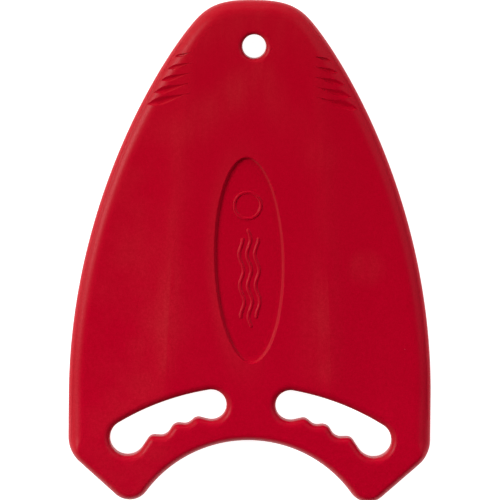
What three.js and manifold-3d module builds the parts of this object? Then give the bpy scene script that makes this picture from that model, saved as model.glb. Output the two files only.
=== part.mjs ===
// Swimming kickboard: a flat foam board with a rolled edge, a hang hole in the nose and two finger-grip
// hand slots beside a hollowed tail. Two tough moulded skins, a shallow one above and a deep one below, meet
// at a parting plane high on the edge and line the slots and the hole. A light closed-cell foam core fills
// the space between them.
//
// Frame: millimetres, board lying flat, +Z up, +Y towards the nose, X across. The origin is the centre of
// the bounding box's lowest face. Everything below is drawn about the middle plane of the thickness, with
// "height" counted from that plane, and the finished meshes are then lifted into place.

import * as THREE from 'three';
import Module from 'manifold-3d';

// Overall size
const LENGTH = 450;
const WIDTH = 325;
const THICKNESS = 30;

// Skins, the plane where they meet, and the gap kept between separate pieces
const SKIN = 2.5;
const PARTING_HEIGHT = 9;
const CLEARANCE = 0.3;

// Rolled edge: a quarter ellipse above and below a narrow straight band, wide along the nose and flanks and
// tighter round the tail
const EDGE_RUN = 14;
const TAIL_EDGE_RUN = 6;
const EDGE_BAND = 1;

// Nose and flank: two curves that meet on the shoulder with a common slope below the horizontal
const SHOULDER = new THREE.Vector2(50.5, 208);
const SHOULDER_SLOPE = 47.7;
const NOSE_HANDLES = [22.4, 19.5];
const FLANK_HANDLES = [41.8, 175.5];
const FLANK_END_Y = -130;

// Tail: a rounded corner, a straight chamfer down to a rounded lobe, and the hollow between the lobes
const CORNER_RADIUS = 30;
const CHAMFER_POINT = new THREE.Vector2(150, -193.25);
const CHAMFER_SLOPE = 41.6;
const LOBE_RADIUS = 18.7;
const HOLLOW_TOP_Y = -170.5;

// Creases along the top face: the half distance between them is a parabola in y, and outside them the top
// falls away at a slope that eases to nothing over the panel's width, and fades out towards the tail
const CREASE_AT_CENTRE = 69.3;
const CREASE_TAPER = 0.053;
const CREASE_BEND = 0.00013;
const PANEL_SLOPE = 0.11;
const PANEL_WIDTH = 50;
const PANEL_FADE_Y = [-190, -120];
const PANEL_STATIONS = [-190, -160, -140, -120, -60, 0, 60, 120, 200];
const PANEL_OFFSETS = [0, 12, 28, 50, 95];

// Hang hole in the nose
const HOLE_CENTRE = new THREE.Vector2(1, 183.5);
const HOLE_RADIUS = 10.4;
const HOLE_LIP = 4;

// Right hand slot, as a belt round circles in the slot's own slanted frame: [along, across, radius], with a
// negative radius where the belt bends back round one of the three finger ridges
const SLOT_CENTRE = new THREE.Vector2(75, -151.7);
const SLOT_SLANT = -23;
const SLOT_LIP = 6.2;
const SLOT_CIRCLES = [
  [39.3, -1.8, 15.5],
  [7.7, -213.5, 229.5],
  [-41.4, -3.1, 13.5],
  [-23.8, -15.9, -7.3],
  [-15.9, -2.0, 8.3],
  [-5.3, -15.0, -8.3],
  [7.6, -2.5, 9.4],
  [18.8, -15.4, -7.1],
];

// The left slot mirrors the right one, and both then move this far to the right
const SLOTS_SHIFT = 1.2;

// Walls of the hole and the slots open out both ways from the middle plane by this draft
const DRAFT = 2.5;

// Oval recess in the top face
const RECESS_CENTRE = new THREE.Vector2(-1.8, -7.7);
const RECESS_HALF_AXES = [31.1, 92.2];
const RECESS_TILT = 2;
const RECESS_DEPTH = 3.2;
const RECESS_WALL_RUN = 3;

// Raised ring and wave lines on the recess floor
const RELIEF_HEIGHT = 0.8;
const RELIEF_STROKE = 2.2;
const RING_RADIUS = 13;
const RING_OFFSET = 49;
const WAVE_LENGTHS = [70, 86, 70];
const WAVE_SPACING = 7;
const WAVE_SWING = 1.8;
const WAVE_PITCH = 28;
const WAVE_OFFSET = -16;

// Grip grooves on each shoulder, from the nose towards the tail: drop-shaped troughs, widest near the outer
// end, that leave half a millimetre or more of skin below them. The right shoulder's set lies a little nearer
// the tail.
const GROOVE_COUNT = 5;
const GROOVE_START = new THREE.Vector2(53.2, 178.4);
const RIGHT_GROOVES_SHIFT = 2.4;
const GROOVE_PITCH = 9;
const GROOVE_SLOPE = 15.8;
const GROOVE_FIRST_LENGTH = 17.5;
const GROOVE_LENGTH_STEP = 6.3;
const GROOVE_WIDTH_SHARE = 0.17;
const GROOVE_FLOOR_SHARE = 0.3;
const GROOVE_WIDEST_AT = 0.7;
const GROOVE_DEPTH = 2;

// Facets: the most that a chord may leave its arc, and the step counts of the other curves. The edge and the
// lips have fewer steps on surfaces that lie inside the board.
const SAGITTA = 0.2;
const NOSE_STEPS = 7;
const FLANK_STEPS = 12;
const EDGE_STEPS = 3;
const INNER_EDGE_STEPS = 2;
const LIP_STEPS = 2;
const INNER_LIP_STEPS = 1;
const HOLE_STEPS = 20;
const OVAL_STEPS = 32;
const GROOVE_STEPS = 5;
const WAVE_STEPS = 14;

// How far a cutter runs past the face that it opens
const OVERRUN = 1;

const HALF = THICKNESS / 2;
const ORIGIN = new THREE.Vector2();
const radians = THREE.MathUtils.degToRad;

const wasm = await Module();
wasm.setup();

// ---- Plane curves ----

function arcPoints(centre, radius, from, to) {
  const turn = 2 * Math.acos(1 - SAGITTA / radius);
  const steps = Math.max(2, Math.ceil(Math.abs(to - from) / turn));
  const points = [];
  for (let i = 0; i <= steps; i++) {
    const angle = from + ((to - from) * i) / steps;
    points.push(new THREE.Vector2(Math.cos(angle), Math.sin(angle)).multiplyScalar(radius).add(centre));
  }
  return points;
}

function withoutRepeats(points) {
  return points.filter((point, i) => point.distanceTo(points[(i + 1) % points.length]) > 0.01);
}

// The right half of the board's outline, from the middle of the nose round to the middle of the tail.
function halfOutline() {
  const slope = radians(SHOULDER_SLOPE);
  const down = new THREE.Vector2(Math.cos(slope), -Math.sin(slope));
  const noseTop = new THREE.Vector2(0, LENGTH / 2);
  const flankEnd = new THREE.Vector2(WIDTH / 2, FLANK_END_Y);
  const nose = new THREE.CubicBezierCurve(
    noseTop,
    noseTop.clone().add(new THREE.Vector2(NOSE_HANDLES[0], 0)),
    SHOULDER.clone().addScaledVector(down, -NOSE_HANDLES[1]),
    SHOULDER,
  );
  const flank = new THREE.CubicBezierCurve(
    SHOULDER,
    SHOULDER.clone().addScaledVector(down, FLANK_HANDLES[0]),
    flankEnd.clone().add(new THREE.Vector2(0, FLANK_HANDLES[1])),
    flankEnd,
  );

  // Corner and lobe circles both touch the chamfer line; "outward" is that line's outward normal.
  const chamfer = radians(CHAMFER_SLOPE);
  const outward = new THREE.Vector2(Math.sin(chamfer), -Math.cos(chamfer));
  const reach = outward.dot(CHAMFER_POINT);
  const cornerX = WIDTH / 2 - CORNER_RADIUS;
  const corner = new THREE.Vector2(cornerX, (reach - CORNER_RADIUS - outward.x * cornerX) / outward.y);
  const lobeY = -LENGTH / 2 + LOBE_RADIUS;
  const lobe = new THREE.Vector2((reach - LOBE_RADIUS - outward.y * lobeY) / outward.x, lobeY);

  // The hollow's circle sits on the centre line, passes through its top and touches the lobe from outside.
  const rise = lobe.y - HOLLOW_TOP_Y;
  const hollowRadius = (lobe.x ** 2 + rise ** 2 - LOBE_RADIUS ** 2) / (2 * (LOBE_RADIUS - rise));
  const hollow = new THREE.Vector2(0, HOLLOW_TOP_Y - hollowRadius);
  const touch = lobe.clone().sub(hollow).angle();
  const chamferTurn = chamfer - Math.PI / 2;

  return withoutRepeats([
    ...nose.getPoints(NOSE_STEPS),
    ...flank.getPoints(FLANK_STEPS),
    ...arcPoints(corner, CORNER_RADIUS, 0, chamferTurn),
    ...arcPoints(lobe, LOBE_RADIUS, chamferTurn, -Math.PI / 2),
    ...arcPoints(lobe, LOBE_RADIUS, -Math.PI / 2, touch - Math.PI),
    ...arcPoints(hollow, hollowRadius, touch, Math.PI / 2),
  ]);
}

// The whole outline, anticlockwise.
function boardOutline() {
  const right = halfOutline();
  const left = right
    .filter((point) => point.x > 0.01)
    .map((point) => new THREE.Vector2(-point.x, point.y))
    .reverse();
  return [...right, ...left].reverse();
}

// The outline of a belt pulled anticlockwise round circles [x, y, radius], turning the other way round
// those with a negative radius.
function beltOutline(circles) {
  const runs = circles.map(([x, y, radius], i) => {
    const [nextX, nextY, nextRadius] = circles[(i + 1) % circles.length];
    const between = new THREE.Vector2(nextX - x, nextY - y);
    return between.angle() - Math.asin((nextRadius - radius) / between.length());
  });
  const fullTurn = 2 * Math.PI;
  const points = circles.flatMap(([x, y, radius], i) => {
    const arrive = runs[(i + circles.length - 1) % circles.length];
    const sign = Math.sign(radius);
    const turn = (((runs[i] - arrive) * sign) % fullTurn + fullTurn) % fullTurn;
    const start = arrive - (sign * Math.PI) / 2;
    return arcPoints(new THREE.Vector2(x, y), Math.abs(radius), start, start + sign * turn);
  });
  return withoutRepeats(points);
}

function slotOutline() {
  return beltOutline(SLOT_CIRCLES).map((point) =>
    point.rotateAround(ORIGIN, radians(SLOT_SLANT)).add(SLOT_CENTRE),
  );
}

// The mirror image across the board's centre line, still anticlockwise.
function mirrored(points) {
  return points.map((point) => new THREE.Vector2(-point.x, point.y)).reverse();
}

function shiftedSlot(points) {
  return points.map((point) => new THREE.Vector2(point.x + SLOTS_SHIFT, point.y));
}

function ovalOutline(centre, halfWidth, halfLength, tilt, steps) {
  const points = [];
  for (let i = 0; i < steps; i++) {
    const angle = (2 * Math.PI * i) / steps;
    const point = new THREE.Vector2(halfWidth * Math.cos(angle), halfLength * Math.sin(angle));
    points.push(point.rotateAround(ORIGIN, radians(tilt)).add(centre));
  }
  return points;
}

// Moves each point of an anticlockwise outline along its outward normal. The distance is worked out from
// that normal, so it can differ from one side of the outline to another.
function grown(points, distanceAlong) {
  return points.map((point, i) => {
    const before = points[(i + points.length - 1) % points.length];
    const after = points[(i + 1) % points.length];
    const along = after.clone().sub(before).normalize();
    const outward = new THREE.Vector2(along.y, -along.x);
    return point.clone().addScaledVector(outward, distanceAlong(outward));
  });
}

// ---- Solids ----

function atHeight(outline, height) {
  return outline.map((point) => new THREE.Vector3(point.x, point.y, height));
}

const fromAbove = ({ x, y }) => new THREE.Vector2(x, y);
const fromTail = ({ x, z }) => new THREE.Vector2(x, z);

// A closed solid through rings of points, all of the same count and anticlockwise as the view sees them. The
// view flattens a ring into the plane that its cap is filled in, and looks back from the last ring.
function loftSolid(rings, view = fromAbove) {
  const count = rings[0].length;
  const triangles = [];
  for (let ring = 0; ring + 1 < rings.length; ring++) {
    for (let i = 0; i < count; i++) {
      const here = ring * count + i;
      const next = ring * count + ((i + 1) % count);
      triangles.push(here, next, next + count, here, next + count, here + count);
    }
  }
  const last = (rings.length - 1) * count;
  for (const [a, b, c] of THREE.ShapeUtils.triangulateShape(rings[0].map(view), [])) {
    triangles.push(a, c, b);
  }
  for (const [a, b, c] of THREE.ShapeUtils.triangulateShape(rings[rings.length - 1].map(view), [])) {
    triangles.push(last + a, last + b, last + c);
  }
  return new wasm.Manifold(
    new wasm.Mesh({
      numProp: 3,
      vertProperties: new Float32Array(rings.flat().flatMap((point) => point.toArray())),
      triVerts: new Uint32Array(triangles),
    }),
  );
}

// A straight solid between two heights.
function prismSolid(outline, low, high) {
  return loftSolid([atHeight(outline, low), atHeight(outline, high)]);
}

// Turns rings above the middle plane into rings on both sides of it.
function bothWays(upper) {
  const turnedDown = upper.map((ring) => ring.map(({ x, y, z }) => new THREE.Vector3(x, y, -z)));
  return [...turnedDown.reverse(), ...upper];
}

// The edge's run, easing from its full width on the flank to the tail's width as the outline turns to face
// the tail.
function edgeRun(outward) {
  const tailShare = THREE.MathUtils.smoothstep(-outward.y, 0, 0.6);
  return THREE.MathUtils.lerp(EDGE_RUN, TAIL_EDGE_RUN, tailShare);
}

// The board with its rolled edge, pulled in everywhere by a depth below its surface.
function bodySolid(depth) {
  const outline = boardOutline();
  const rise = HALF - EDGE_BAND - depth;
  const steps = depth > 0 ? INNER_EDGE_STEPS : EDGE_STEPS;
  const rings = [];
  for (let i = 0; i <= steps; i++) {
    const angle = (Math.PI / 2) * (i / steps);
    const inset = (outward) => -depth - (edgeRun(outward) - depth) * (1 - Math.cos(angle));
    rings.push(atHeight(grown(outline, inset), EDGE_BAND + rise * Math.sin(angle)));
  }
  return loftSolid(bothWays(rings));
}

// The space inside a hole or slot, opened out by a depth behind its wall.
function openingSolid(outline, lip, depth) {
  const radius = lip - depth;
  const wallTop = HALF - depth - radius;
  const spread = Math.tan(radians(DRAFT));
  const steps = depth > 0 ? INNER_LIP_STEPS : LIP_STEPS;
  const rings = [atHeight(grown(outline, () => depth + EDGE_BAND * spread), EDGE_BAND)];
  let mouth;
  for (let i = 0; i <= steps; i++) {
    const angle = (Math.PI / 2) * (i / steps);
    const offset = depth + wallTop * spread + radius * (1 - Math.cos(angle));
    mouth = grown(outline, () => offset);
    rings.push(atHeight(mouth, wallTop + radius * Math.sin(angle)));
  }
  rings.push(atHeight(mouth, HALF + OVERRUN));
  return loftSolid(bothWays(rings));
}

function openingSolids(depth) {
  const hole = ovalOutline(HOLE_CENTRE, HOLE_RADIUS, HOLE_RADIUS, 0, HOLE_STEPS);
  return [
    openingSolid(shiftedSlot(slotOutline()), SLOT_LIP, depth),
    openingSolid(shiftedSlot(mirrored(slotOutline())), SLOT_LIP, depth),
    openingSolid(hole, HOLE_LIP, depth),
  ];
}

// How far the top face lies below its highest level.
function panelDrop(x, y) {
  const crease = CREASE_AT_CENTRE - CREASE_TAPER * y - CREASE_BEND * y ** 2;
  const beyond = THREE.MathUtils.clamp(Math.abs(x) - crease, 0, PANEL_WIDTH);
  const fade = THREE.MathUtils.smoothstep(y, ...PANEL_FADE_Y);
  return fade * PANEL_SLOPE * (beyond - beyond ** 2 / (2 * PANEL_WIDTH));
}

// The space over one side panel, from the crease out past the edge, lowered by a depth.
function panelSolid(side, depth) {
  const rings = PANEL_STATIONS.map((y) => {
    const crease = CREASE_AT_CENTRE - CREASE_TAPER * y - CREASE_BEND * y ** 2;
    const floor = PANEL_OFFSETS.map((offset) => {
      const x = crease + offset;
      return new THREE.Vector3(side * x, y, HALF - depth - panelDrop(x, y));
    });
    const outerX = floor[floor.length - 1].x;
    const roof = [
      new THREE.Vector3(outerX, y, HALF + OVERRUN),
      new THREE.Vector3(side * crease, y, HALF + OVERRUN),
    ];
    const ring = [...floor, ...roof];
    return side > 0 ? ring : ring.reverse();
  });
  return loftSolid(rings.reverse(), fromTail);
}

// The space of the oval recess, grown by a depth below its walls and floor.
function recessSolid(depth) {
  const [halfWidth, halfLength] = RECESS_HALF_AXES;
  const oval = (grow) =>
    ovalOutline(RECESS_CENTRE, halfWidth + grow, halfLength + grow, RECESS_TILT, OVAL_STEPS);
  return loftSolid([
    atHeight(oval(depth - RECESS_WALL_RUN), HALF - RECESS_DEPTH - depth),
    atHeight(oval(depth), HALF - depth),
    atHeight(oval(depth), HALF + OVERRUN),
  ]);
}

// One grip groove: a tapering trough with pointed ends, leaning away from the nose.
function grooveSolid(index, side) {
  const length = GROOVE_FIRST_LENGTH + GROOVE_LENGTH_STEP * index;
  const width = length * GROOVE_WIDTH_SHARE;
  const skew = Math.log(0.5) / Math.log(GROOVE_WIDEST_AT);
  const shift = side > 0 ? RIGHT_GROOVES_SHIFT : 0;
  const start = new THREE.Vector2(GROOVE_START.x, GROOVE_START.y - GROOVE_PITCH * index - shift);
  const ring = (share, heightAt) => {
    const place = (t, across) => {
      const fromStart = new THREE.Vector2(t * length, across).rotateAround(ORIGIN, radians(-GROOVE_SLOPE));
      const point = fromStart.add(start);
      return new THREE.Vector3(side * point.x, point.y, heightAt(point));
    };
    const lower = [];
    const upper = [];
    for (let i = 1; i < GROOVE_STEPS; i++) {
      const t = i / GROOVE_STEPS;
      const halfWidth = (share * width * Math.sin(Math.PI * t ** skew)) / 2;
      lower.push(place(t, -halfWidth));
      upper.unshift(place(t, halfWidth));
    }
    const points = [place(0, 0), ...lower, place(1, 0), ...upper];
    return side > 0 ? points : points.reverse();
  };
  const surface = ({ x, y }) => HALF - panelDrop(x, y);
  return loftSolid([
    ring(GROOVE_FLOOR_SHARE, (point) => surface(point) - GROOVE_DEPTH),
    ring(1, surface),
    ring(1, () => HALF + OVERRUN),
  ]);
}

// Turns a point given across and along the recess into the board's frame.
function inRecess(across, along) {
  return new THREE.Vector2(across, along).rotateAround(ORIGIN, radians(RECESS_TILT)).add(RECESS_CENTRE);
}

// A flat raised shape standing on the recess floor, sunk a little into it.
function reliefSolid(outline) {
  const floor = HALF - RECESS_DEPTH;
  return prismSolid(outline, floor - SKIN / 2, floor + RELIEF_HEIGHT);
}

function ringSolid() {
  const circle = (radius) => ovalOutline(inRecess(0, RING_OFFSET), radius, radius, 0, HOLE_STEPS);
  const floor = HALF - RECESS_DEPTH;
  const bore = prismSolid(circle(RING_RADIUS - RELIEF_STROKE), floor, HALF);
  return reliefSolid(circle(RING_RADIUS)).subtract(bore);
}

function waveSolid(across, length) {
  const left = [];
  const right = [];
  for (let i = 0; i <= WAVE_STEPS; i++) {
    const fromMiddle = length * (0.5 - i / WAVE_STEPS);
    const swing = across + WAVE_SWING * Math.sin((2 * Math.PI * fromMiddle) / WAVE_PITCH);
    left.push(inRecess(swing - RELIEF_STROKE / 2, WAVE_OFFSET + fromMiddle));
    right.unshift(inRecess(swing + RELIEF_STROKE / 2, WAVE_OFFSET + fromMiddle));
  }
  return reliefSolid([...left, ...right]);
}

// ---- Parts ----

function without(solid, cutters) {
  return cutters.reduce((rest, cutter) => rest.subtract(cutter), solid);
}

// The board's whole volume at a depth below its surface, without grooves or relief.
function hollowedSolid(depth) {
  return without(bodySolid(depth), [
    ...openingSolids(depth),
    panelSolid(1, depth),
    panelSolid(-1, depth),
    recessSolid(depth),
  ]);
}

function outsideSolid() {
  const middleWave = (WAVE_LENGTHS.length - 1) / 2;
  const waves = WAVE_LENGTHS.map((length, i) => waveSolid((i - middleWave) * WAVE_SPACING, length));
  let solid = hollowedSolid(0);
  for (const relief of [ringSolid(), ...waves]) {
    solid = solid.add(relief);
  }
  for (let i = 0; i < GROOVE_COUNT; i++) {
    solid = without(solid, [grooveSolid(i, 1), grooveSolid(i, -1)]);
  }
  return solid;
}

// A slab wider than the board, to cut the shell along its parting plane.
function slabSolid(low, high) {
  const corners = [
    [-1, -1],
    [1, -1],
    [1, 1],
    [-1, 1],
  ];
  return prismSolid(corners.map(([x, y]) => new THREE.Vector2(x * LENGTH, y * LENGTH)), low, high);
}

function meshOf(name, solid, material) {
  const { vertProperties, triVerts } = solid.getMesh();
  const geometry = new THREE.BufferGeometry();
  geometry.setAttribute('position', new THREE.BufferAttribute(vertProperties, 3));
  geometry.setIndex(new THREE.BufferAttribute(triVerts, 1));
  const mesh = new THREE.Mesh(geometry, new THREE.MeshStandardMaterial(material));
  mesh.name = name;
  mesh.position.z = HALF;
  return mesh;
}

const skinMaterial = { color: 0xb40a26, roughness: 0.5, metalness: 0 };
const foamMaterial = { color: 0x9c1a2c, roughness: 0.95, metalness: 0 };

const shell = outsideSolid().subtract(hollowedSolid(SKIN));
const above = slabSolid(PARTING_HEIGHT + CLEARANCE / 2, THICKNESS);
const below = slabSolid(-THICKNESS, PARTING_HEIGHT - CLEARANCE / 2);

const board = new THREE.Group();
board.add(
  meshOf('top_skin', shell.intersect(above), skinMaterial),
  meshOf('bottom_skin', shell.intersect(below), skinMaterial),
  meshOf('foam_core', hollowedSolid(SKIN + CLEARANCE), foamMaterial),
);

export default board;
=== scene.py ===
"""The looks of the swimming kickboard: its two moulded skins and foam core as fine meshes, their materials,
the floor, the lights and the camera. Lengths are in millimetres until a mesh is made, and the frame is the
CAD's: +Z up, +Y towards the nose. Heights are counted from the middle plane of the thickness.
"""
import math

import bmesh
import bpy
import numpy as np
from mathutils import Matrix, Vector
from mathutils.geometry import delaunay_2d_cdt
from mathutils.kdtree import KDTree


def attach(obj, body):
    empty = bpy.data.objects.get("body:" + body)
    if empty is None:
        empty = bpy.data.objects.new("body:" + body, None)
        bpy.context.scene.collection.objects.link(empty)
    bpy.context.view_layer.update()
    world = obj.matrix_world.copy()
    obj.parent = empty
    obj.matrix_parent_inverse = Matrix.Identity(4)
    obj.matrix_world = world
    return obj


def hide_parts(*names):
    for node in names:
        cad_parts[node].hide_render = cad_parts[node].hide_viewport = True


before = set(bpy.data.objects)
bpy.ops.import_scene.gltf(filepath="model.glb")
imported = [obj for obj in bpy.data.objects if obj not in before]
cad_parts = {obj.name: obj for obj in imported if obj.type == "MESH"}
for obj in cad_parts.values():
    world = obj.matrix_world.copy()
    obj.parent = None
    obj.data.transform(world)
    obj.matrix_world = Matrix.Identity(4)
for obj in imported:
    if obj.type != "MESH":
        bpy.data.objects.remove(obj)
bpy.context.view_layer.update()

MM = 0.001

# ---- The board's dimensions, as in the CAD ----

LENGTH = 450
WIDTH = 325
THICKNESS = 30
HALF = THICKNESS / 2
SKIN = 2.5
PARTING_HEIGHT = 9
CLEARANCE = 0.3

EDGE_RUN = 14
TAIL_EDGE_RUN = 6
TAIL_FACING = 0.6
EDGE_BAND = 1

SHOULDER = (50.5, 208)
SHOULDER_SLOPE = 47.7
NOSE_HANDLES = (22.4, 19.5)
FLANK_HANDLES = (41.8, 175.5)
FLANK_END_Y = -130

CORNER_RADIUS = 30
CHAMFER_POINT = (150, -193.25)
CHAMFER_SLOPE = 41.6
LOBE_RADIUS = 18.7
HOLLOW_TOP_Y = -170.5

CREASE_AT_CENTRE = 69.3
CREASE_TAPER = 0.053
CREASE_BEND = 0.00013
CREASE_SOFTNESS = 3
PANEL_SLOPE = 0.11
PANEL_WIDTH = 50
PANEL_FADE_Y = (-190, -120)

HOLE_CENTRE = (1, 183.5)
HOLE_RADIUS = 10.4
HOLE_LIP = 4

SLOT_CENTRE = (75, -151.7)
SLOTS_SHIFT = 1.2
SLOT_SLANT = -23
SLOT_LIP = 6.2
SLOT_CIRCLES = (
    (39.3, -1.8, 15.5),
    (7.7, -213.5, 229.5),
    (-41.4, -3.1, 13.5),
    (-23.8, -15.9, -7.3),
    (-15.9, -2.0, 8.3),
    (-5.3, -15.0, -8.3),
    (7.6, -2.5, 9.4),
    (18.8, -15.4, -7.1),
)
DRAFT = 2.5

RECESS_CENTRE = (-1.8, -7.7)
RECESS_HALF_AXES = (31.1, 92.2)
RECESS_TILT = 2
RECESS_DEPTH = 3.2
RECESS_WALL_RUN = 1.5
RECESS_WALL_SHARE = 0.78
RECESS_FILLET_RUN = 6
RECESS_LIP = 0.3

RELIEF_HEIGHT = 0.8
RELIEF_STROKE = 2.2
RELIEF_ROUNDING = 0.35
RING_RADIUS = 13
RING_OFFSET = 49
WAVE_LENGTHS = (70, 86, 70)
WAVE_SPACING = 7
WAVE_SWING = 1.8
WAVE_PITCH = 28
WAVE_OFFSET = -16

GROOVE_COUNT = 5
GROOVE_START = (53.2, 178.4)
RIGHT_GROOVES_SHIFT = 2.4
GROOVE_PITCH = 9
GROOVE_SLOPE = 15.8
GROOVE_FIRST_LENGTH = 17.5
GROOVE_LENGTH_STEP = 6.3
GROOVE_WIDTH_SHARE = 0.17
GROOVE_WIDEST_AT = 0.7
GROOVE_DEPTH = 2
GROOVE_WALL_SHARE = 0.5
GROOVE_RISE_SHARE = 0.22
GROOVE_FADE_POWER = 0.7

# ---- Spacing of the meshes' points ----

EDGE_SPACING = 2.2
OPENING_SPACING = 1.2
LINE_SPACING = 1
RECESS_SPACING = 1.2
FINE_GRID = 2.6
COARSE_GRID = 8
GRID_CLEARANCE = 0.45
EDGE_RING_COUNT = 8
LIP_RING_COUNT = 8
WALL_RING_COUNT = 8
CURVE_STEPS = 200

# How far up the rolled edge its rings reach, in degrees, and how far on its lines then lie, as shares.
FINE_EDGE_ANGLE = 47
COARSE_EDGE_ANGLE = 80
EDGE_LINE_SHARES = (0.12, 0.25, 0.4, 0.55, 0.75, 1.0)

# Distances of the lines that the meshes follow: outside the recess's rim, round the relief's centre lines,
# and across a groove as shares of its half width.
RECESS_LINES = (1.0, 0.3, 0, -0.3, -0.6, -0.9, -1.2, -1.5, -2.2, -3.4, -4.8, -6.2)
COARSE_RECESS_LINES = (0.3, -0.5, -1.2, -1.75)
RELIEF_FOOT = 0.9
RELIEF_CREST = 0.3
GROOVE_LINE_SHARES = (1.12, 1, 0.5, 0, -0.3, -0.56, -0.78, -1, -1.12)

# Twice the area of the thinnest triangle kept, and the distances below which points count as one.
LEAST_AREA = 1e-4
FILL_TOLERANCE = 1e-5
WELD_DISTANCE = 1e-6
SHARP_ANGLE = 50


# ---- Plane curves ----

def arc(centre, radius, start, end):
    """Points along an arc between two angles."""
    angles = np.linspace(start, end, CURVE_STEPS)
    return np.array(centre) + radius * np.stack([np.cos(angles), np.sin(angles)], axis=1)


def bezier(start, start_handle, end_handle, end):
    """Points along a cubic curve."""
    t = np.linspace(0, 1, CURVE_STEPS)[:, None]
    s = 1 - t
    return (s ** 3 * np.array(start) + 3 * s * s * t * np.array(start_handle)
            + 3 * s * t * t * np.array(end_handle) + t ** 3 * np.array(end))


def evenly_spaced(points, spacing):
    """An open line drawn again with its points evenly spaced, both ends kept."""
    steps = np.linalg.norm(np.diff(points, axis=0), axis=1)
    travel = np.concatenate([[0], np.cumsum(steps)])
    count = max(2, int(round(travel[-1] / spacing)) + 1)
    at = np.linspace(0, travel[-1], count)
    return np.stack([np.interp(at, travel, points[:, axis]) for axis in (0, 1)], axis=1)


def closed_evenly(points, spacing):
    """The same for a closed line, whose first point isn't repeated."""
    return evenly_spaced(np.vstack([points, points[:1]]), spacing)[:-1]


def turned(points, degrees):
    """Points turned anticlockwise about the origin."""
    angle = math.radians(degrees)
    matrix = np.array([[math.cos(angle), -math.sin(angle)], [math.sin(angle), math.cos(angle)]])
    return np.asarray(points) @ matrix.T


def mirrored(points):
    """The mirror image across the centre line, still anticlockwise."""
    return (points * (-1, 1))[::-1]


def board_outline():
    """The board's outline, anticlockwise, from the middle of the nose."""
    slope = math.radians(SHOULDER_SLOPE)
    down = np.array([math.cos(slope), -math.sin(slope)])
    shoulder = np.array(SHOULDER)
    nose_top = np.array([0, LENGTH / 2])
    flank_end = np.array([WIDTH / 2, FLANK_END_Y])
    nose = bezier(nose_top, nose_top + (NOSE_HANDLES[0], 0), shoulder - down * NOSE_HANDLES[1], shoulder)
    flank = bezier(shoulder, shoulder + down * FLANK_HANDLES[0], flank_end + (0, FLANK_HANDLES[1]), flank_end)

    chamfer = math.radians(CHAMFER_SLOPE)
    outward = np.array([math.sin(chamfer), -math.cos(chamfer)])
    reach = outward @ np.array(CHAMFER_POINT)
    corner_x = WIDTH / 2 - CORNER_RADIUS
    corner = (corner_x, (reach - CORNER_RADIUS - outward[0] * corner_x) / outward[1])
    lobe_y = -LENGTH / 2 + LOBE_RADIUS
    lobe = ((reach - LOBE_RADIUS - outward[1] * lobe_y) / outward[0], lobe_y)

    rise = lobe[1] - HOLLOW_TOP_Y
    hollow_radius = (lobe[0] ** 2 + rise ** 2 - LOBE_RADIUS ** 2) / (2 * (LOBE_RADIUS - rise))
    hollow = (0, HOLLOW_TOP_Y - hollow_radius)
    touch = math.atan2(lobe[1] - hollow[1], lobe[0] - hollow[0])
    chamfer_turn = chamfer - math.pi / 2
    right = np.vstack([
        nose,
        flank,
        arc(corner, CORNER_RADIUS, 0, chamfer_turn),
        arc(lobe, LOBE_RADIUS, chamfer_turn, touch - math.pi),
        arc(hollow, hollow_radius, touch, math.pi / 2),
    ])
    right = evenly_spaced(right, EDGE_SPACING)
    return np.vstack([right * (-1, 1), right[-2:0:-1]])


def slot_outline():
    """The right slot's outline: a belt pulled anticlockwise round the slot's circles."""
    circles = np.array(SLOT_CIRCLES)
    following = np.roll(circles, -1, axis=0)
    between = following[:, :2] - circles[:, :2]
    distance = np.linalg.norm(between, axis=1)
    runs = np.arctan2(between[:, 1], between[:, 0]) - np.arcsin((following[:, 2] - circles[:, 2]) / distance)
    arcs = []
    for i, (x, y, radius) in enumerate(circles):
        arrive = runs[i - 1]
        sign = math.copysign(1, radius)
        turn = ((runs[i] - arrive) * sign) % (2 * math.pi)
        start = arrive - sign * math.pi / 2
        arcs.append(arc((x, y), abs(radius), start, start + sign * turn))
    belt = closed_evenly(np.vstack(arcs), OPENING_SPACING)
    return turned(belt, SLOT_SLANT) + SLOT_CENTRE


def hole_outline():
    circle = arc(HOLE_CENTRE, HOLE_RADIUS, 0, 2 * math.pi)
    return closed_evenly(circle[:-1], OPENING_SPACING)


def outward_normals(points):
    """The outward normals of an anticlockwise closed line."""
    along = np.roll(points, -1, axis=0) - np.roll(points, 1, axis=0)
    along /= np.linalg.norm(along, axis=1)[:, None]
    return np.stack([along[:, 1], -along[:, 0]], axis=1)


def smoothstep(value, low=0.0, high=1.0):
    t = np.clip((value - low) / (high - low), 0, 1)
    return t * t * (3 - 2 * t)


OUTLINE = board_outline()
OUTLINE_NORMALS = outward_normals(OUTLINE)
OUTLINE_RUNS = EDGE_RUN + (TAIL_EDGE_RUN - EDGE_RUN) * smoothstep(-OUTLINE_NORMALS[:, 1], 0, TAIL_FACING)
OPENINGS = [
    (slot_outline() + (SLOTS_SHIFT, 0), SLOT_LIP),
    (mirrored(slot_outline()) + (SLOTS_SHIFT, 0), SLOT_LIP),
    (hole_outline(), HOLE_LIP),
]


# ---- The shape of the top face ----

def soft_ramp(distance, softness):
    """The distance where it is positive and nothing where it isn't, with the corner rounded."""
    return (distance + np.sqrt(distance ** 2 + softness ** 2)) / 2


def crease_offset(y):
    """Half the distance between the two long creases."""
    return CREASE_AT_CENTRE - CREASE_TAPER * y - CREASE_BEND * y ** 2


def panel_drop(x, y):
    """How far the side panels lie below the middle of the top face."""
    beyond = np.clip(soft_ramp(np.abs(x) - crease_offset(y), CREASE_SOFTNESS), 0, PANEL_WIDTH)
    fade = smoothstep(y, *PANEL_FADE_Y)
    return fade * PANEL_SLOPE * (beyond - beyond ** 2 / (2 * PANEL_WIDTH))


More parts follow.
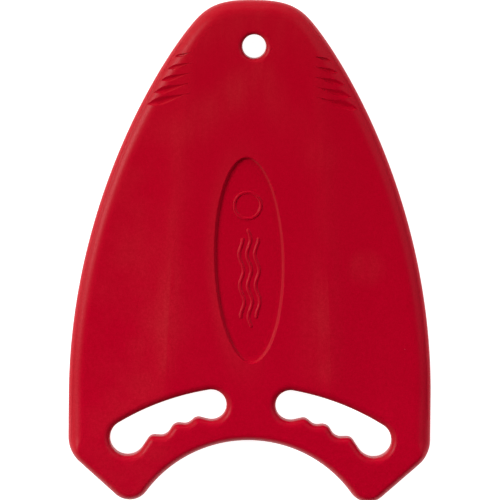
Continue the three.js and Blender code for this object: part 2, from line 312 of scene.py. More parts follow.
def in_recess(points):
    """Board points turned and moved into the recess's own axes."""
    return turned(points - RECESS_CENTRE, -RECESS_TILT)


def from_recess(points):
    return turned(points, RECESS_TILT) + RECESS_CENTRE


def recess_distance(points):
    """How far points lie outside the rim of the oval recess, close to it."""
    local = in_recess(points)
    axes = np.array(RECESS_HALF_AXES)
    level = np.sum((local / axes) ** 2, axis=1)
    slope = 2 * np.linalg.norm(local / axes ** 2, axis=1)
    return (level - 1) / np.maximum(slope, 1e-6)


def recess_drop(points):
    within = RECESS_LIP - recess_distance(points)
    wall = smoothstep(within / (RECESS_WALL_RUN + RECESS_LIP))
    fillet = 1 - (1 - np.clip(within / RECESS_FILLET_RUN, 0, 1)) ** 2
    return RECESS_DEPTH * (RECESS_WALL_SHARE * wall + (1 - RECESS_WALL_SHARE) * fillet)


def relief_lines():
    """The centre lines of the raised ring and waves on the recess floor."""
    radius = RING_RADIUS - RELIEF_STROKE / 2
    lines = [from_recess(arc((0, RING_OFFSET), radius, 0, 2 * math.pi))]
    middle = (len(WAVE_LENGTHS) - 1) / 2
    for i, length in enumerate(WAVE_LENGTHS):
        along = np.linspace(length / 2, -length / 2, CURVE_STEPS)
        across = (i - middle) * WAVE_SPACING + WAVE_SWING * np.sin(2 * math.pi * along / WAVE_PITCH)
        lines.append(from_recess(np.stack([across, WAVE_OFFSET + along], axis=1)))
    return lines


RELIEF_LINES = relief_lines()


def distance_to_points(points, targets):
    """Each point's distance to the nearest target, and that target's index."""
    tree = KDTree(len(targets))
    for i, (x, y) in enumerate(targets):
        tree.insert((x, y, 0), i)
    tree.balance()
    found = [tree.find((x, y, 0)) for x, y in points]
    return np.array([f[2] for f in found]), np.array([f[1] for f in found])


def relief_rise(points):
    distance, _ = distance_to_points(points, np.vstack(RELIEF_LINES))
    edge = RELIEF_STROKE / 2
    return RELIEF_HEIGHT * (1 - smoothstep(distance, edge - RELIEF_ROUNDING, edge + RELIEF_ROUNDING))


def groove_half_width(length, t):
    skew = math.log(0.5) / math.log(GROOVE_WIDEST_AT)
    return length * GROOVE_WIDTH_SHARE / 2 * np.sin(math.pi * np.clip(t, 0, 1) ** skew)


def groove_places():
    """Each groove's start, length and side."""
    for side, shift in ((1, RIGHT_GROOVES_SHIFT), (-1, 0)):
        for i in range(GROOVE_COUNT):
            start = np.array([GROOVE_START[0], GROOVE_START[1] - GROOVE_PITCH * i - shift])
            yield start, GROOVE_FIRST_LENGTH + GROOVE_LENGTH_STEP * i, side


def groove_drop(points):
    """The grooves' depth: a long wall on the side of the nose and a short one on the side of the tail."""
    drop = np.zeros(len(points))
    for start, length, side in groove_places():
        local = turned(points * (side, 1) - start, GROOVE_SLOPE)
        t = local[:, 0] / length
        half_width = groove_half_width(length, t)
        inside = (t > 0) & (t < 1) & (np.abs(local[:, 1]) < half_width)
        across = local[inside, 1] / half_width[inside]
        wall = np.clip((1 - across) / 2 / GROOVE_WALL_SHARE, 0, 1)
        rise = smoothstep((1 + across) / 2 / GROOVE_RISE_SHARE)
        strength = (2 * half_width[inside] / (length * GROOVE_WIDTH_SHARE)) ** GROOVE_FADE_POWER
        drop[inside] += GROOVE_DEPTH * strength * np.minimum(wall, rise)
    return drop


def groove_lines():
    """Lines along the grooves that the mesh follows."""
    lines = []
    for start, length, side in groove_places():
        t = np.linspace(0, 1, int(length / LINE_SPACING) + 2)
        for share in GROOVE_LINE_SHARES:
            across = share * groove_half_width(length, t)
            local = np.stack([t * length, across], axis=1)
            lines.append((turned(local, -GROOVE_SLOPE) + start) * (side, 1))
    return lines


def level_above(points, detailed):
    """The top face's height, without the rolled edge and the lips."""
    level = HALF - panel_drop(points[:, 0], points[:, 1]) - recess_drop(points)
    if detailed:
        level = level + relief_rise(points) - groove_drop(points)
    return level


def level_below(points, detailed):
    """The flat underside's height, counted downwards, the same with details or without."""
    return np.full(len(points), HALF)


# ---- Building a face of the board ----

def edge_rings(level_at, start, depth, last_angle):
    """Rings up the rolled edge from a starting height, at a depth below the surface."""
    inset_points = OUTLINE - OUTLINE_NORMALS * OUTLINE_RUNS[:, None] / 2
    rise = level_at(inset_points, False) - depth - EDGE_BAND
    rings = []
    if start < EDGE_BAND:
        rings.append((np.full(len(OUTLINE), depth), np.full(len(OUTLINE), start)))
        first_angle = np.zeros(len(OUTLINE))
    else:
        first_angle = np.arcsin((start - EDGE_BAND) / rise)
    for share in np.linspace(0, 1, EDGE_RING_COUNT + 1):
        angle = first_angle + (last_angle - first_angle) * share
        inset = depth + (OUTLINE_RUNS - depth) * (1 - np.cos(angle))
        rings.append((inset, EDGE_BAND + rise * np.sin(angle)))
    return [np.column_stack([OUTLINE - OUTLINE_NORMALS * inset[:, None], height]) for inset, height in rings]


def lip_rings(outline, lip, level_at, start, depth):
    """Rings up the wall of an opening and over its lip."""
    normals = outward_normals(outline)
    spread = math.tan(math.radians(DRAFT))
    wall_top = level_at(outline + normals * lip, False) - lip
    radius = lip - depth
    low = max(start, EDGE_BAND)
    wall = np.maximum(wall_top - low, 0)
    rings = []
    if start < EDGE_BAND:
        rings.append((np.full(len(outline), depth + EDGE_BAND * spread), np.full(len(outline), start)))
    if wall.min() > SKIN:
        rings.append((np.full(len(outline), depth + low * spread), np.full(len(outline), low)))
        low = wall_top
        wall = np.zeros(len(outline))
    first_angle = np.arcsin(np.clip((low - wall_top) / radius, 0, 1))
    travel = wall + radius * (math.pi / 2 - first_angle)
    for share in np.linspace(0, 1, LIP_RING_COUNT + 1):
        gone = share * travel
        angle = first_angle + np.maximum(gone - wall, 0) / radius
        height = np.where(gone < wall, low + gone, wall_top + radius * np.sin(angle))
        wall_offset = np.minimum(height, wall_top) * spread
        rings.append((depth + wall_offset + radius * (1 - np.cos(angle)), height))
    return [np.column_stack([outline + normals * offset[:, None], height]) for offset, height in rings]


class Builder:
    """Collects the points and faces of one mesh."""

    def __init__(self):
        self.points = []
        self.faces = []

    def add_points(self, points):
        first = len(self.points)
        self.points.extend(map(tuple, points))
        return np.arange(first, first + len(points))

    def join_rings(self, lower, upper):
        after_lower = np.roll(lower, -1)
        after_upper = np.roll(upper, -1)
        self.faces.extend(zip(lower.tolist(), after_lower.tolist(), after_upper.tolist(), upper.tolist()))

    def add_rings(self, rings):
        ids = [self.add_points(ring) for ring in rings]
        for lower, upper in zip(ids, ids[1:]):
            self.join_rings(lower, upper)
        return ids


def inside_loop(points, loop):
    """Which points lie inside a closed line."""
    inside = np.zeros(len(points), bool)
    for (x1, y1), (x2, y2) in zip(loop, np.roll(loop, -1, axis=0)):
        if y1 == y2:
            continue
        crosses = (points[:, 1] < y1) != (points[:, 1] < y2)
        inside ^= crosses & (points[:, 0] < x1 + (points[:, 1] - y1) * (x2 - x1) / (y2 - y1))
    return inside


def edge_distance(points):
    """How far points lie inside the outline, and the edge run at the nearest part of it."""
    _, nearest = distance_to_points(points, OUTLINE)
    away = points - OUTLINE[nearest]
    return np.abs(np.sum(away * OUTLINE_NORMALS[nearest], axis=1)), OUTLINE_RUNS[nearest]


def grid_points(spacing):
    """A lattice of equilateral triangles over the board's box."""
    rows = []
    row_gap = spacing * math.sqrt(3) / 2
    for i, y in enumerate(np.arange(-LENGTH / 2, LENGTH / 2, row_gap)):
        x = np.arange(-WIDTH / 2 + (i % 2) * spacing / 2, WIDTH / 2, spacing)
        rows.append(np.stack([x, np.full(len(x), y)], axis=1))
    return np.vstack(rows)


def offset_loops(line, distances, is_closed):
    """Closed lines round a centre line at some distances from it."""
    loops = []
    for distance in distances:
        if is_closed:
            centre = line.mean(axis=0)
            radius = np.linalg.norm(line[0] - centre)
            for side in (1, -1):
                circle = arc(centre, radius + side * distance, 0, 2 * math.pi)
                loops.append(closed_evenly(circle[:-1], LINE_SPACING))
            continue
        along = np.gradient(line, axis=0)
        along /= np.linalg.norm(along, axis=1)[:, None]
        normal = np.stack([along[:, 1], -along[:, 0]], axis=1)
        end_angle = math.atan2(normal[-1, 1], normal[-1, 0])
        start_angle = math.atan2(-normal[0, 1], -normal[0, 0])
        loop = np.vstack([
            line + normal * distance,
            arc(line[-1], distance, end_angle, end_angle + math.pi)[1:-1],
            (line - normal * distance)[::-1],
            arc(line[0], distance, start_angle, start_angle + math.pi)[1:-1],
        ])
        loops.append(closed_evenly(loop, LINE_SPACING))
    return loops


def recess_loops(distances):
    """Ovals round the rim of the recess at some distances outside it."""
    loops = []
    for distance in distances:
        angles = np.linspace(0, 2 * math.pi, CURVE_STEPS, endpoint=False)
        oval = np.stack([np.cos(angles), np.sin(angles)], axis=1) * RECESS_HALF_AXES
        loop = oval + outward_normals(oval) * distance
        loops.append(from_recess(closed_evenly(loop, RECESS_SPACING)))
    return loops


def edge_lines(depth, last_angle):
    """Lines round the face between the last ring of the edge and the end of the edge's roll."""
    lines = []
    for share in EDGE_LINE_SHARES:
        angle = last_angle + (math.pi / 2 - last_angle) * share
        inset = depth + (OUTLINE_RUNS - depth) * (1 - math.cos(angle))
        lines.append(OUTLINE - OUTLINE_NORMALS * inset[:, None])
    return lines


def feature_lines(level_at, detailed):
    """The closed and the open lines that the mesh follows at the recess, the relief and the grooves."""
    if detailed:
        half = RELIEF_STROKE / 2
        distances = (half + RELIEF_FOOT, half + RELIEF_ROUNDING, half, half - RELIEF_ROUNDING, RELIEF_CREST)
        closed_lines = recess_loops(RECESS_LINES)
        for i, line in enumerate(RELIEF_LINES):
            closed_lines += offset_loops(line, distances, is_closed=i == 0)
        return closed_lines, groove_lines()
    if level_at is level_above:
        return recess_loops(COARSE_RECESS_LINES), []
    return [], []


def linked(closed_lines, open_lines):
    """The points of some lines, and the edges between them."""
    points = []
    edges = []
    for lines, is_closed in ((closed_lines, True), (open_lines, False)):
        for line in lines:
            first = len(points)
            points.extend(map(tuple, line))
            last = len(points) - 1
            edges.extend((i, i + 1) for i in range(first, last))
            if is_closed:
                edges.append((last, first))
    return points, edges


def inner_grid(spacing, border, openings, drawn):
    """Lattice points inside a border, outside the openings and clear of the points already drawn."""
    lattice = grid_points(spacing)
    lattice = lattice[inside_loop(lattice, border)]
    for opening in openings:
        lattice = lattice[~inside_loop(lattice, opening)]
    clear, _ = distance_to_points(lattice, drawn)
    return lattice[clear > spacing * GRID_CLEARANCE]


def within_face(flat, triangles, boundaries):
    """The triangles that lie on the face and have an area."""
    middles = flat[triangles].mean(axis=1)
    sides = flat[triangles[:, 1:]] - flat[triangles[:, :1]]
    doubled_areas = np.abs(sides[:, 0, 0] * sides[:, 1, 1] - sides[:, 0, 1] * sides[:, 1, 0])
    keep = inside_loop(middles, boundaries[0]) & (doubled_areas > LEAST_AREA)
    for opening in boundaries[1:]:
        keep &= ~inside_loop(middles, opening)
    return triangles[keep]


def fill_face(builder, level_at, depth, detailed, last_angle, rims, rim_ids):
    """Fills the face between the last ring of the edge and the last rings of the lips."""
    boundaries = [rim[:, :2] for rim in rims]
    boundary_ids = np.concatenate(rim_ids)
    around = edge_lines(depth, last_angle)
    closed_lines, open_lines = feature_lines(level_at, detailed)
    points, edges = linked(boundaries + around + closed_lines, open_lines)
    spacing = FINE_GRID if detailed else COARSE_GRID
    points.extend(map(tuple, inner_grid(spacing, around[-1], boundaries[1:], np.array(points))))

    corners = [Vector(point) for point in points]
    flat, _, triangles, origins, _, _ = delaunay_2d_cdt(corners, edges, [], 0, FILL_TOLERANCE)
    flat = np.array([tuple(v) for v in flat])
    triangles = within_face(flat, np.array(triangles), boundaries)

    inset, run = edge_distance(flat)
    share = np.clip((inset - depth) / (run - depth), 0, 1)
    roll = np.sqrt(1 - (1 - share) ** 2)
    height = EDGE_BAND + (level_at(flat, detailed) - depth - EDGE_BAND) * roll
    new_ids = builder.add_points(np.column_stack([flat, height]))
    for new, olds in enumerate(origins):
        on_boundary = [old for old in olds if old < len(boundary_ids)]
        if on_boundary:
            new_ids[new] = boundary_ids[on_boundary[0]]
    builder.faces.extend(map(tuple, new_ids[triangles].tolist()))


def add_face(builder, side, start, depth, detailed):
    """Adds the board's upper or lower face, from a starting height, and returns its first rings' ids."""
    level_at = level_above if side > 0 else level_below
    last_angle = math.radians(FINE_EDGE_ANGLE if detailed else COARSE_EDGE_ANGLE)
    stacks = [edge_rings(level_at, start, depth, last_angle)]
    stacks += [lip_rings(outline, lip, level_at, start, depth) for outline, lip in OPENINGS]
    part = Builder()
    ids = [part.add_rings(rings) for rings in stacks]
    rims = [rings[-1] for rings in stacks]
    fill_face(part, level_at, depth, detailed, last_angle, rims, [ring_ids[-1] for ring_ids in ids])
    first = len(builder.points)
    builder.points.extend((x, y, side * z) for x, y, z in part.points)
    builder.faces.extend(tuple(first + i for i in face) for face in part.faces)
    return [first + ring_ids[0] for ring_ids in ids]


def first_rings(start, depth):
    """The rings of the edge and of each opening at one height above the middle plane."""
    rings = [edge_rings(level_above, start, depth, math.pi / 2)[0]]
    return rings + [lip_rings(outline, lip, level_above, start, depth)[0] for outline, lip in OPENINGS]


def add_walls(builder, low, high, depth):
    """Adds the edge and the openings' walls between two heights, and returns their highest rings' ids."""
    levels = [first_rings(height, depth) for height in np.linspace(low, high, WALL_RING_COUNT)]
    return [builder.add_rings(list(stack))[-1] for stack in zip(*levels)]


def join_all(builder, lower_rings, upper_rings):
    for lower, upper in zip(lower_rings, upper_rings):
        builder.join_rings(lower, upper)


def make_piece(name, builder):
    """A closed, smoothly shaded object in metres from a builder's points and faces."""
    mesh = bpy.data.meshes.new(name)
    lifted = (np.array(builder.points) + (0, 0, HALF)) * MM
    mesh.from_pydata(lifted.tolist(), [], builder.faces)
    work = bmesh.new()
    work.from_mesh(mesh)
    bmesh.ops.remove_doubles(work, verts=work.verts, dist=WELD_DISTANCE)
    loose = [v for v in work.verts if not v.link_faces]
    bmesh.ops.delete(work, geom=loose, context="VERTS")
    bmesh.ops.recalc_face_normals(work, faces=work.faces)
    work.to_mesh(mesh)
    work.free()
    mesh.shade_smooth()
    mesh.set_sharp_from_angle(angle=math.radians(SHARP_ANGLE))
    piece = bpy.data.objects.new(name, mesh)
    bpy.context.scene.collection.objects.link(piece)
    return piece


def make_top_skin():
    start = PARTING_HEIGHT + CLEARANCE / 2
    builder = Builder()
    outer = add_face(builder, 1, start, 0, detailed=True)
    inner = add_face(builder, 1, start, SKIN, detailed=False)
    join_all(builder, outer, inner)
    return make_piece("board_top_skin", builder)


def make_bottom_skin():
    """Each depth's face and walls meet at the middle plane, where make_piece welds their first rings."""
    start = PARTING_HEIGHT - CLEARANCE / 2
    builder = Builder()
    rims = []
    for depth in (0, SKIN):
        add_face(builder, -1, 0, depth, detailed=False)
        rims.append(add_walls(builder, 0, start, depth))
    join_all(builder, *rims)
    return make_piece("board_bottom_skin", builder)


def make_foam_core():
    builder = Builder()
    for side in (1, -1):
        add_face(builder, side, 0, SKIN + CLEARANCE, detailed=False)
    return make_piece("board_foam_core", builder)


# ---- Materials ----

DEEP_RED = (0.545, 0.0001, 0.0205, 1)
# The paler red that the painted sheen and painted highlights, and the pale spot, are mixed towards.
PAINTED_SHEEN_RED = (0.580, 0.0290, 0.0390, 1)
# A darker red, for both the painted shade towards the nose and the darker tone of the grain and mottle.
DARK_RED = (0.370, 0.0001, 0.0085, 1)
# A paler red, painted as sheen where the rolled edge faces the left.
RIM_SHEEN_RED = (0.400, 0.0290, 0.0330, 1)
SPECK_PINK = (0.700, 0.300, 0.320, 1)
FOAM_RED = (0.360, 0.016, 0.030, 1)
# A darker red, painted as shade in the foam's pits.
FOAM_PIT_SHADE_RED = (0.210, 0.006, 0.014, 1)
FOAM_PALE_RED = (0.420, 0.030, 0.045, 1)
FLOOR_GREYS = ((0.50, 0.50, 0.50, 1), (0.53, 0.53, 0.53, 1))
WHITE = (1, 1, 1, 1)

# The painted sheen and highlights, in millimetres on the board. Each pair of limits runs from no painted
# sheen to full painted sheen.
# A painted highlight along the creases, with a painted fringe of light to the left of each.
CREASE_HIGHLIGHT = 0.35
CREASE_HIGHLIGHT_WIDTH = 9
CREASE_FRINGE_WIDTH = 20
CREASE_FRINGE_Y = (20, -35)
SLOTS_CLEAR_Y = (-128, -100)
# Painted sheen towards the nose's rolled rim.
NOSE_SHEEN_Y = (150, 215)
SPOT_HAZE = 0.5
SPOT_CENTRE = (103, -14.5)
SPOT_RADII = (20, 11)
# Straight bands of painted reflection, and painted sheen in patches on the left.
LEFT_BAND = ((3, 163), (-60, 108))
RIGHT_BAND = ((17, 141), (62, 84))
RIGHT_BAND_SHEEN = 0.6
BAND_WIDTH = 16
LEFT_SIDE_X = (20, -60)
PATCH_SHEEN = 0.5
PATCH_X = -105
PATCH_WIDTH = 48
PAINTED_SHEEN_STRENGTH = 0.6

# The painted highlight round the recess: its strength, and its width as a share of the recess's half axes.
RECESS_RIM_HIGHLIGHT = 0.8
RECESS_RIM_HIGHLIGHT_WIDTH = 0.22

# Painted light over the painted sheen: painted shade, darker towards the nose, and painted sheen, paler where
# the edge rolls over to the left.
NOSE_SHADE_Y = (-150, 225)
NOSE_SHADE = 0.62
ROLLED_NORMAL_X = (-0.12, -0.5)
ROLLED_SHEEN = 0.5

# Scales of the noises, per metre. A stretch is how little a noise changes along the board, and a size is
# how far a speck or a pit reaches from the middle of its cell.
CLOUD_SCALE = 38
CLOUD_STRETCH = 0.35
STREAK_SCALE = 260
STREAK_STRETCH = 0.06
PATCH_SCALE = 24
PATCH_NOISE = {"detail": 5.0, "roughness": 0.6, "low": 0.34, "high": 0.72}
GRAIN_SCALE = 800
MOTTLE_SCALE = 420
SPECK_SCALE = 22
SPECK_SIZE = 0.012
FOAM_CELL_SCALE = 1100
FOAM_CELL_SIZE = 0.6
FOAM_SHADE_SCALE = 60
FLOOR_SHADE_SCALE = 3

# Gain and base of the values that a noise is turned into.
CLOUD_SPREAD = (0.9, 0.2)
STREAK_SPREAD = (0.5, 0.7)
SKIN_ROUGHNESS = (0.06, 0.28)
FOAM_ROUGHNESS = (0.08, 0.86)

GRAIN_ROUGHNESS = 0.06
GRAIN_SHADE = 0.4
GRAIN_SHARE = 0.4
MOTTLE_SHARE = 0.6
SKIN_SPECULAR = 0.06
SKIN_BUMP = {"Strength": 0.35, "Distance": 0.00015}
FOAM_BUMP = {"Strength": 0.6, "Distance": 0.0003}
FOAM_SHADE = 0.25
FLOOR_ROUGHNESS = 0.9
FLOOR_GLOW = 1


class Tree:
    """Short ways to add nodes to a new material."""

    def __init__(self, name):
        self.material = bpy.data.materials.new(name)
        self.material.use_nodes = True
        self.tree = self.material.node_tree
        self.shader = self.tree.nodes["Principled BSDF"]

    def node(self, kind, inputs=None, **settings):
        added = self.tree.nodes.new(kind)
        for key, value in settings.items():
            setattr(added, key, value)
        for key, value in (inputs or {}).items():
            self.put(added.inputs[key], value)
        return added

    def put(self, socket, value):
        """Links a socket or sets its value."""
        if isinstance(value, bpy.types.NodeSocket):
            self.tree.links.new(value, socket)
        else:
            socket.default_value = value

    def math(self, operation, *values):
        return self.node("ShaderNodeMath", dict(enumerate(values)), operation=operation).outputs[0]

    def vector(self, operation, *values, output="Vector"):
        return self.node("ShaderNodeVectorMath", dict(enumerate(values)), operation=operation).outputs[output]

    def mix(self, factor, first, second):
        """A colour between two, by a factor."""
        added = self.node("ShaderNodeMix", data_type="RGBA")
        for name, value in (("Factor_Float", factor), ("A_Color", first), ("B_Color", second)):
            self.put(next(i for i in added.inputs if i.identifier == name), value)
        return next(o for o in added.outputs if o.identifier == "Result_Color")

    def ramp(self, value, low, high, top=1.0):
        """0 at one value, a top at another, even between them and held beyond them."""
        limits = {"Value": value, "From Min": low, "From Max": high, "To Max": top}
        return self.node("ShaderNodeMapRange", limits).outputs[0]

    def noise(self, place, scale, detail=3.0, roughness=0.5, low=0.3, high=0.7):
        """Noise spread from 0 to 1."""
        made = self.node("ShaderNodeTexNoise",
                         {"Vector": place, "Scale": scale, "Detail": detail, "Roughness": roughness})
        return self.ramp(made.outputs["Fac"], low, high)

    def bell(self, distance, width):
        """1 where a distance is nothing, falling away smoothly over a width."""
        share = self.math("DIVIDE", distance, width)
        return self.math("EXPONENT", self.math("MULTIPLY", self.math("MULTIPLY", share, share), -1.0))

    def fringe(self, distance, width):
        """0 where a distance is negative, 1 just past nothing, falling away smoothly over a width."""
        edge = self.ramp(distance, 0, width / 10)
        return self.math("MULTIPLY", edge, self.bell(distance, width))

    def band(self, place, start, end, width):
        """1 along a straight band between two points, falling away over a width."""
        start, end = Vector((*start, 0)), Vector((*end, 0))
        along = end - start
        from_start = self.vector("SUBTRACT", place, start)
        travel = self.vector("DOT_PRODUCT", from_start, along / along.length_squared, output="Value")
        held = self.node("ShaderNodeClamp", {"Value": travel}).outputs[0]
        nearest = self.node("ShaderNodeVectorMath", {"Vector": along, "Scale": held}, operation="SCALE")
        away = self.vector("SUBTRACT", from_start, nearest.outputs["Vector"])
        return self.bell(self.vector("LENGTH", away, output="Value"), width)


def object_place(tree):
    """The place on the board, in metres."""
    return tree.node("ShaderNodeTexCoord").outputs["Object"]


def crease_highlight(tree, x, y):
    """A painted highlight thinly along both creases, with a painted fringe of light to the left of each
    towards the tail.
    """
    bend = tree.math("MULTIPLY", tree.math("MULTIPLY", y, y), CREASE_BEND)
    taper = tree.math("MULTIPLY_ADD", y, CREASE_TAPER, bend)
    crease = tree.math("SUBTRACT", CREASE_AT_CENTRE, taper)
    beyond = tree.math("SUBTRACT", tree.math("ABSOLUTE", x), crease)
    sheen_share = tree.math("MULTIPLY", tree.bell(beyond, CREASE_HIGHLIGHT_WIDTH), CREASE_HIGHLIGHT)
    tailwards = tree.ramp(y, *CREASE_FRINGE_Y)
    for line in (crease, tree.math("MULTIPLY", crease, -1.0)):
        fringe = tree.fringe(tree.math("SUBTRACT", line, x), CREASE_FRINGE_WIDTH)
        sheen_share = tree.math("MAXIMUM", sheen_share, tree.math("MULTIPLY", fringe, tailwards))
    return tree.math("MULTIPLY", sheen_share, tree.ramp(y, *SLOTS_CLEAR_Y))


def recess_rim_highlight(tree, flat_place):
    """A painted highlight just outside the rim of the oval recess."""
    lean = math.radians(RECESS_TILT)
    half_width, half_length = RECESS_HALF_AXES
    from_centre = tree.vector("SUBTRACT", flat_place, (*RECESS_CENTRE, 0))
    squares = []
    for axis in ((1 / half_width, lean / half_width, 0), (-lean / half_length, 1 / half_length, 0)):
        share = tree.vector("DOT_PRODUCT", from_centre, axis, output="Value")
        squares.append(tree.math("MULTIPLY", share, share))
    oval = tree.math("SQRT", tree.math("ADD", *squares))
    fringe = tree.fringe(tree.math("SUBTRACT", oval, 1.0), RECESS_RIM_HIGHLIGHT_WIDTH)
    return tree.math("MULTIPLY", fringe, RECESS_RIM_HIGHLIGHT)


def spot_haze(tree, flat_place):
    """A pale round spot on the right panel."""
    away = tree.vector("SUBTRACT", flat_place, (*SPOT_CENTRE, 0))
    distance = tree.vector("LENGTH", away, output="Value")
    return tree.math("MULTIPLY", tree.ramp(distance, *SPOT_RADII), SPOT_HAZE)


def painted_sheen(tree, place, flat_place, x, y, clouds):
    """All the painted sheen and highlights together, with the pale spot. Where kinds of it overlap, the sum
    can pass 1.
    """
    right_band = tree.band(flat_place, *RIGHT_BAND, BAND_WIDTH)
    bands = tree.math("ADD", tree.band(flat_place, *LEFT_BAND, BAND_WIDTH),
                      tree.math("MULTIPLY", right_band, RIGHT_BAND_SHEEN))
    sheen = crease_highlight(tree, x, y)
    for other in (bands, tree.ramp(y, *NOSE_SHEEN_Y), spot_haze(tree, flat_place)):
        sheen = tree.math("MAXIMUM", sheen, other)
    streak_place = tree.vector("MULTIPLY", place, (1, STREAK_STRETCH, 1))
    streaks = tree.noise(streak_place, STREAK_SCALE, detail=2.0)
    streaked = tree.math("MULTIPLY", tree.math("MULTIPLY_ADD", clouds, *CLOUD_SPREAD),
                         tree.math("MULTIPLY_ADD", streaks, *STREAK_SPREAD))

    # Painted sheen on the left side only: patches, and the highlight round the recess's rim.
    left_share = tree.ramp(x, *LEFT_SIDE_X)
    patches = tree.noise(place, PATCH_SCALE, **PATCH_NOISE)
    patches = tree.math("MULTIPLY", patches, tree.bell(tree.math("SUBTRACT", x, PATCH_X), PATCH_WIDTH))
    left_patches = tree.math("MULTIPLY", tree.math("MULTIPLY", patches, left_share), PATCH_SHEEN)
    left_rim = tree.math("MULTIPLY", recess_rim_highlight(tree, flat_place), left_share)
    left_sheen = tree.math("MAXIMUM", left_patches, left_rim)
    return tree.math("ADD", left_sheen, tree.math("MULTIPLY", sheen, streaked))


def skin_material():
    """Satin moulded foam skin: deep red with cloudy painted sheen and highlights, painted shade towards the
    nose, fine grain and a few specks.
    """
    tree = Tree("satin_red_skin")
    place = object_place(tree)
    flat_place = tree.vector("MULTIPLY", place, (1 / MM, 1 / MM, 0))
    axes = tree.node("ShaderNodeSeparateXYZ", {0: flat_place})
    x = axes.outputs["X"]
    y = axes.outputs["Y"]
    clouds = tree.noise(tree.vector("MULTIPLY", place, (1, CLOUD_STRETCH, 1)), CLOUD_SCALE, detail=4.0)
    grain = tree.noise(place, GRAIN_SCALE, detail=2.0)
    mottle = tree.noise(place, MOTTLE_SCALE, detail=3.0)
    normal = tree.node("ShaderNodeSeparateXYZ", {0: tree.node("ShaderNodeTexCoord").outputs["Normal"]})
    cells = tree.node("ShaderNodeTexVoronoi", {"Vector": place, "Scale": SPECK_SCALE})

    # Painted sheen and highlights, with the pale spot, mixed into the base red.
    sheen_share = tree.math("MULTIPLY", painted_sheen(tree, place, flat_place, x, y, clouds), PAINTED_SHEEN_STRENGTH)
    red = tree.mix(sheen_share, DEEP_RED, PAINTED_SHEEN_RED)
    # Painted shade: darker towards the nose.
    red = tree.mix(tree.ramp(y, *NOSE_SHADE_Y, top=NOSE_SHADE), red, DARK_RED)
    # Painted sheen: paler where the surface faces the left, as the rolled edge does.
    red = tree.mix(tree.ramp(normal.outputs["X"], *ROLLED_NORMAL_X, top=ROLLED_SHEEN), red, RIM_SHEEN_RED)
    for speckle in (mottle, grain):
        red = tree.mix(tree.math("MULTIPLY", speckle, GRAIN_SHADE), red, DARK_RED)
    speck = tree.math("LESS_THAN", cells.outputs["Distance"], SPECK_SIZE)
    red = tree.mix(speck, red, SPECK_PINK)

    roughness = tree.math("MULTIPLY_ADD", clouds, *SKIN_ROUGHNESS)
    roughness = tree.math("MULTIPLY_ADD", grain, GRAIN_ROUGHNESS, roughness)
    height = tree.math("MULTIPLY_ADD", mottle, MOTTLE_SHARE, tree.math("MULTIPLY", grain, GRAIN_SHARE))
    bump = tree.node("ShaderNodeBump", {**SKIN_BUMP, "Height": height})
    tree.put(tree.shader.inputs["Base Color"], red)
    tree.put(tree.shader.inputs["Specular IOR Level"], SKIN_SPECULAR)
    tree.put(tree.shader.inputs["Roughness"], roughness)
    tree.put(tree.shader.inputs["Normal"], bump.outputs[0])
    return tree.material


def foam_material():
    """Matt closed-cell foam, with its cells as fine pits, coloured darker in the pits as painted shade."""
    tree = Tree("closed_cell_foam")
    place = object_place(tree)
    cells = tree.node("ShaderNodeTexVoronoi", {"Vector": place, "Scale": FOAM_CELL_SCALE})
    pits = tree.ramp(cells.outputs["Distance"], 0, FOAM_CELL_SIZE)
    shade = tree.noise(place, FOAM_SHADE_SCALE)
    # Painted shade: darker in the pits.
    red = tree.mix(pits, FOAM_RED, FOAM_PIT_SHADE_RED)
    red = tree.mix(tree.math("MULTIPLY", shade, FOAM_SHADE), red, FOAM_PALE_RED)
    bump = tree.node("ShaderNodeBump", {**FOAM_BUMP, "Height": pits}, invert=True)
    tree.put(tree.shader.inputs["Base Color"], red)
    tree.put(tree.shader.inputs["Roughness"], tree.math("MULTIPLY_ADD", shade, *FOAM_ROUGHNESS))
    tree.put(tree.shader.inputs["Normal"], bump.outputs[0])
    return tree.material


def floor_material():
    tree = Tree("pale_floor")
    shade = tree.noise(object_place(tree), FLOOR_SHADE_SCALE)
    tree.put(tree.shader.inputs["Base Color"], tree.mix(shade, *FLOOR_GREYS))
    tree.put(tree.shader.inputs["Roughness"], FLOOR_ROUGHNESS)
    tree.put(tree.shader.inputs["Emission Color"], WHITE)
    tree.put(tree.shader.inputs["Emission Strength"], FLOOR_GLOW)
    return tree.material


# ---- Pieces ----

def colour_only(thing, material):
    """Gives an object one material in place of any that it has."""
    thing.data.materials.clear()
    thing.data.materials.append(material)


top_skin = make_top_skin()
bottom_skin = make_bottom_skin()
foam_core = make_foam_core()

red_skin = skin_material()
for piece, node in ((top_skin, "top_skin"), (bottom_skin, "bottom_skin")):
    colour_only(piece, red_skin)
    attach(piece, "root")
    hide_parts(node)
    colour_only(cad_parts[node], red_skin)

foam = foam_material()
colour_only(foam_core, foam)
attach(foam_core, "root")
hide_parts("foam_core")
colour_only(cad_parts["foam_core"], foam)


# ---- Floor, lights and camera, in metres ----

FLOOR_SIZE = 12
# The floor lies a little below the flat underside, so that the two never coincide.
FLOOR_GAP = 0.0004

WORLD_GLOW = 0.7
WORLD_DARK_ABOVE = 0.5

# Each softbox's name, place, target, width, height, power in watts and colour.
SOFTBOXES = (
    ("key_left", (-2.7, 0.9, 2.3), (0, -1.5, 0), 1.6, 1.3, 142, (1.0, 0.985, 0.96)),
    ("fill_right", (3.3, 1.3, 3.0), (0, -2, 0), 4.2, 4.2, 98, (0.96, 0.98, 1.0)),
    ("nose_strip", (0, 2.5, 0.9), (0, 0, 0), 2.4, 1.0, 14, (1, 1, 1)),
)

CAMERA_DISTANCE = 6.3
CAMERA_TILT = 4
CAMERA_ROLL = 0.55
CAMERA_TARGET = (-0.0010, 0.0006, 0.015)
CAMERA_REACH = 50
SENSOR = 36
VIEW_WIDTH = 0.4482


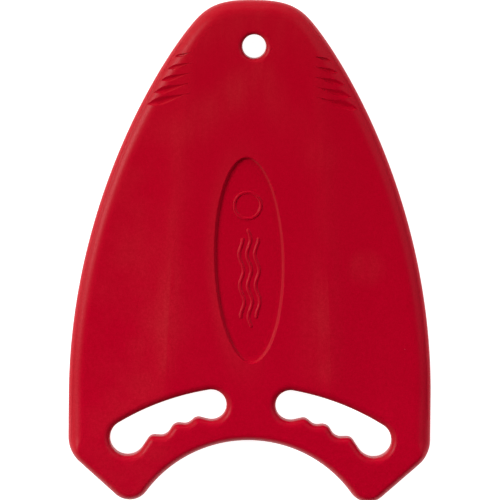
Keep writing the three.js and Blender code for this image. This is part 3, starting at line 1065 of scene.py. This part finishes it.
def add_floor():
    half = FLOOR_SIZE / 2
    signs = ((-1, -1), (1, -1), (1, 1), (-1, 1))
    corners = [(x * half, y * half, -FLOOR_GAP) for x, y in signs]
    mesh = bpy.data.meshes.new("floor")
    mesh.from_pydata(corners, [], [(0, 1, 2, 3)])
    mesh.materials.append(floor_material())
    floor = bpy.data.objects.new("floor", mesh)
    bpy.context.scene.collection.objects.link(floor)


def aim(thing, place, target, up=(0, 0, 1)):
    """Puts a light or camera at a place, looking at a target."""
    backwards = (Vector(place) - Vector(target)).normalized()
    sideways = Vector(up).cross(backwards).normalized()
    upwards = backwards.cross(sideways)
    turn = Matrix((sideways, upwards, backwards)).transposed().to_4x4()
    thing.matrix_world = Matrix.Translation(place) @ turn


def add_softbox(name, place, target, width, height, power, colour):
    light = bpy.data.lights.new(name, "AREA")
    light.shape = "RECTANGLE"
    light.size = width
    light.size_y = height
    light.energy = power
    light.color = colour
    softbox = bpy.data.objects.new(name, light)
    bpy.context.scene.collection.objects.link(softbox)
    aim(softbox, place, target)


def add_world():
    """A room that is pale near the floor and dark overhead."""
    world = bpy.data.worlds.new("studio")
    world.use_nodes = True
    nodes = world.node_tree.nodes
    links = world.node_tree.links
    direction = nodes.new("ShaderNodeTexCoord")
    axes = nodes.new("ShaderNodeSeparateXYZ")
    ramp = nodes.new("ShaderNodeMapRange")
    ramp.interpolation_type = "SMOOTHSTEP"
    limits = {"From Min": 0, "From Max": WORLD_DARK_ABOVE, "To Min": WORLD_GLOW, "To Max": 0}
    for name, value in limits.items():
        ramp.inputs[name].default_value = value
    links.new(direction.outputs["Generated"], axes.inputs[0])
    links.new(axes.outputs["Z"], ramp.inputs["Value"])
    links.new(ramp.outputs[0], nodes["Background"].inputs["Strength"])
    nodes["Background"].inputs["Color"].default_value = WHITE
    bpy.context.scene.world = world


def add_camera():
    camera = bpy.data.cameras.new("camera")
    camera.sensor_width = SENSOR
    camera.lens = SENSOR * CAMERA_DISTANCE / VIEW_WIDTH
    camera.clip_end = CAMERA_REACH
    thing = bpy.data.objects.new("camera", camera)
    bpy.context.scene.collection.objects.link(thing)
    tilt = math.radians(CAMERA_TILT)
    roll = math.radians(CAMERA_ROLL)
    offset = Vector((0, math.sin(tilt), math.cos(tilt))) * CAMERA_DISTANCE
    up = (-math.sin(roll), math.cos(roll), 0)
    aim(thing, Vector(CAMERA_TARGET) + offset, CAMERA_TARGET, up)
    bpy.context.scene.camera = thing


add_floor()
add_world()
for softbox in SOFTBOXES:
    add_softbox(*softbox)
add_camera()
bpy.context.scene.view_settings.view_transform = "Standard"
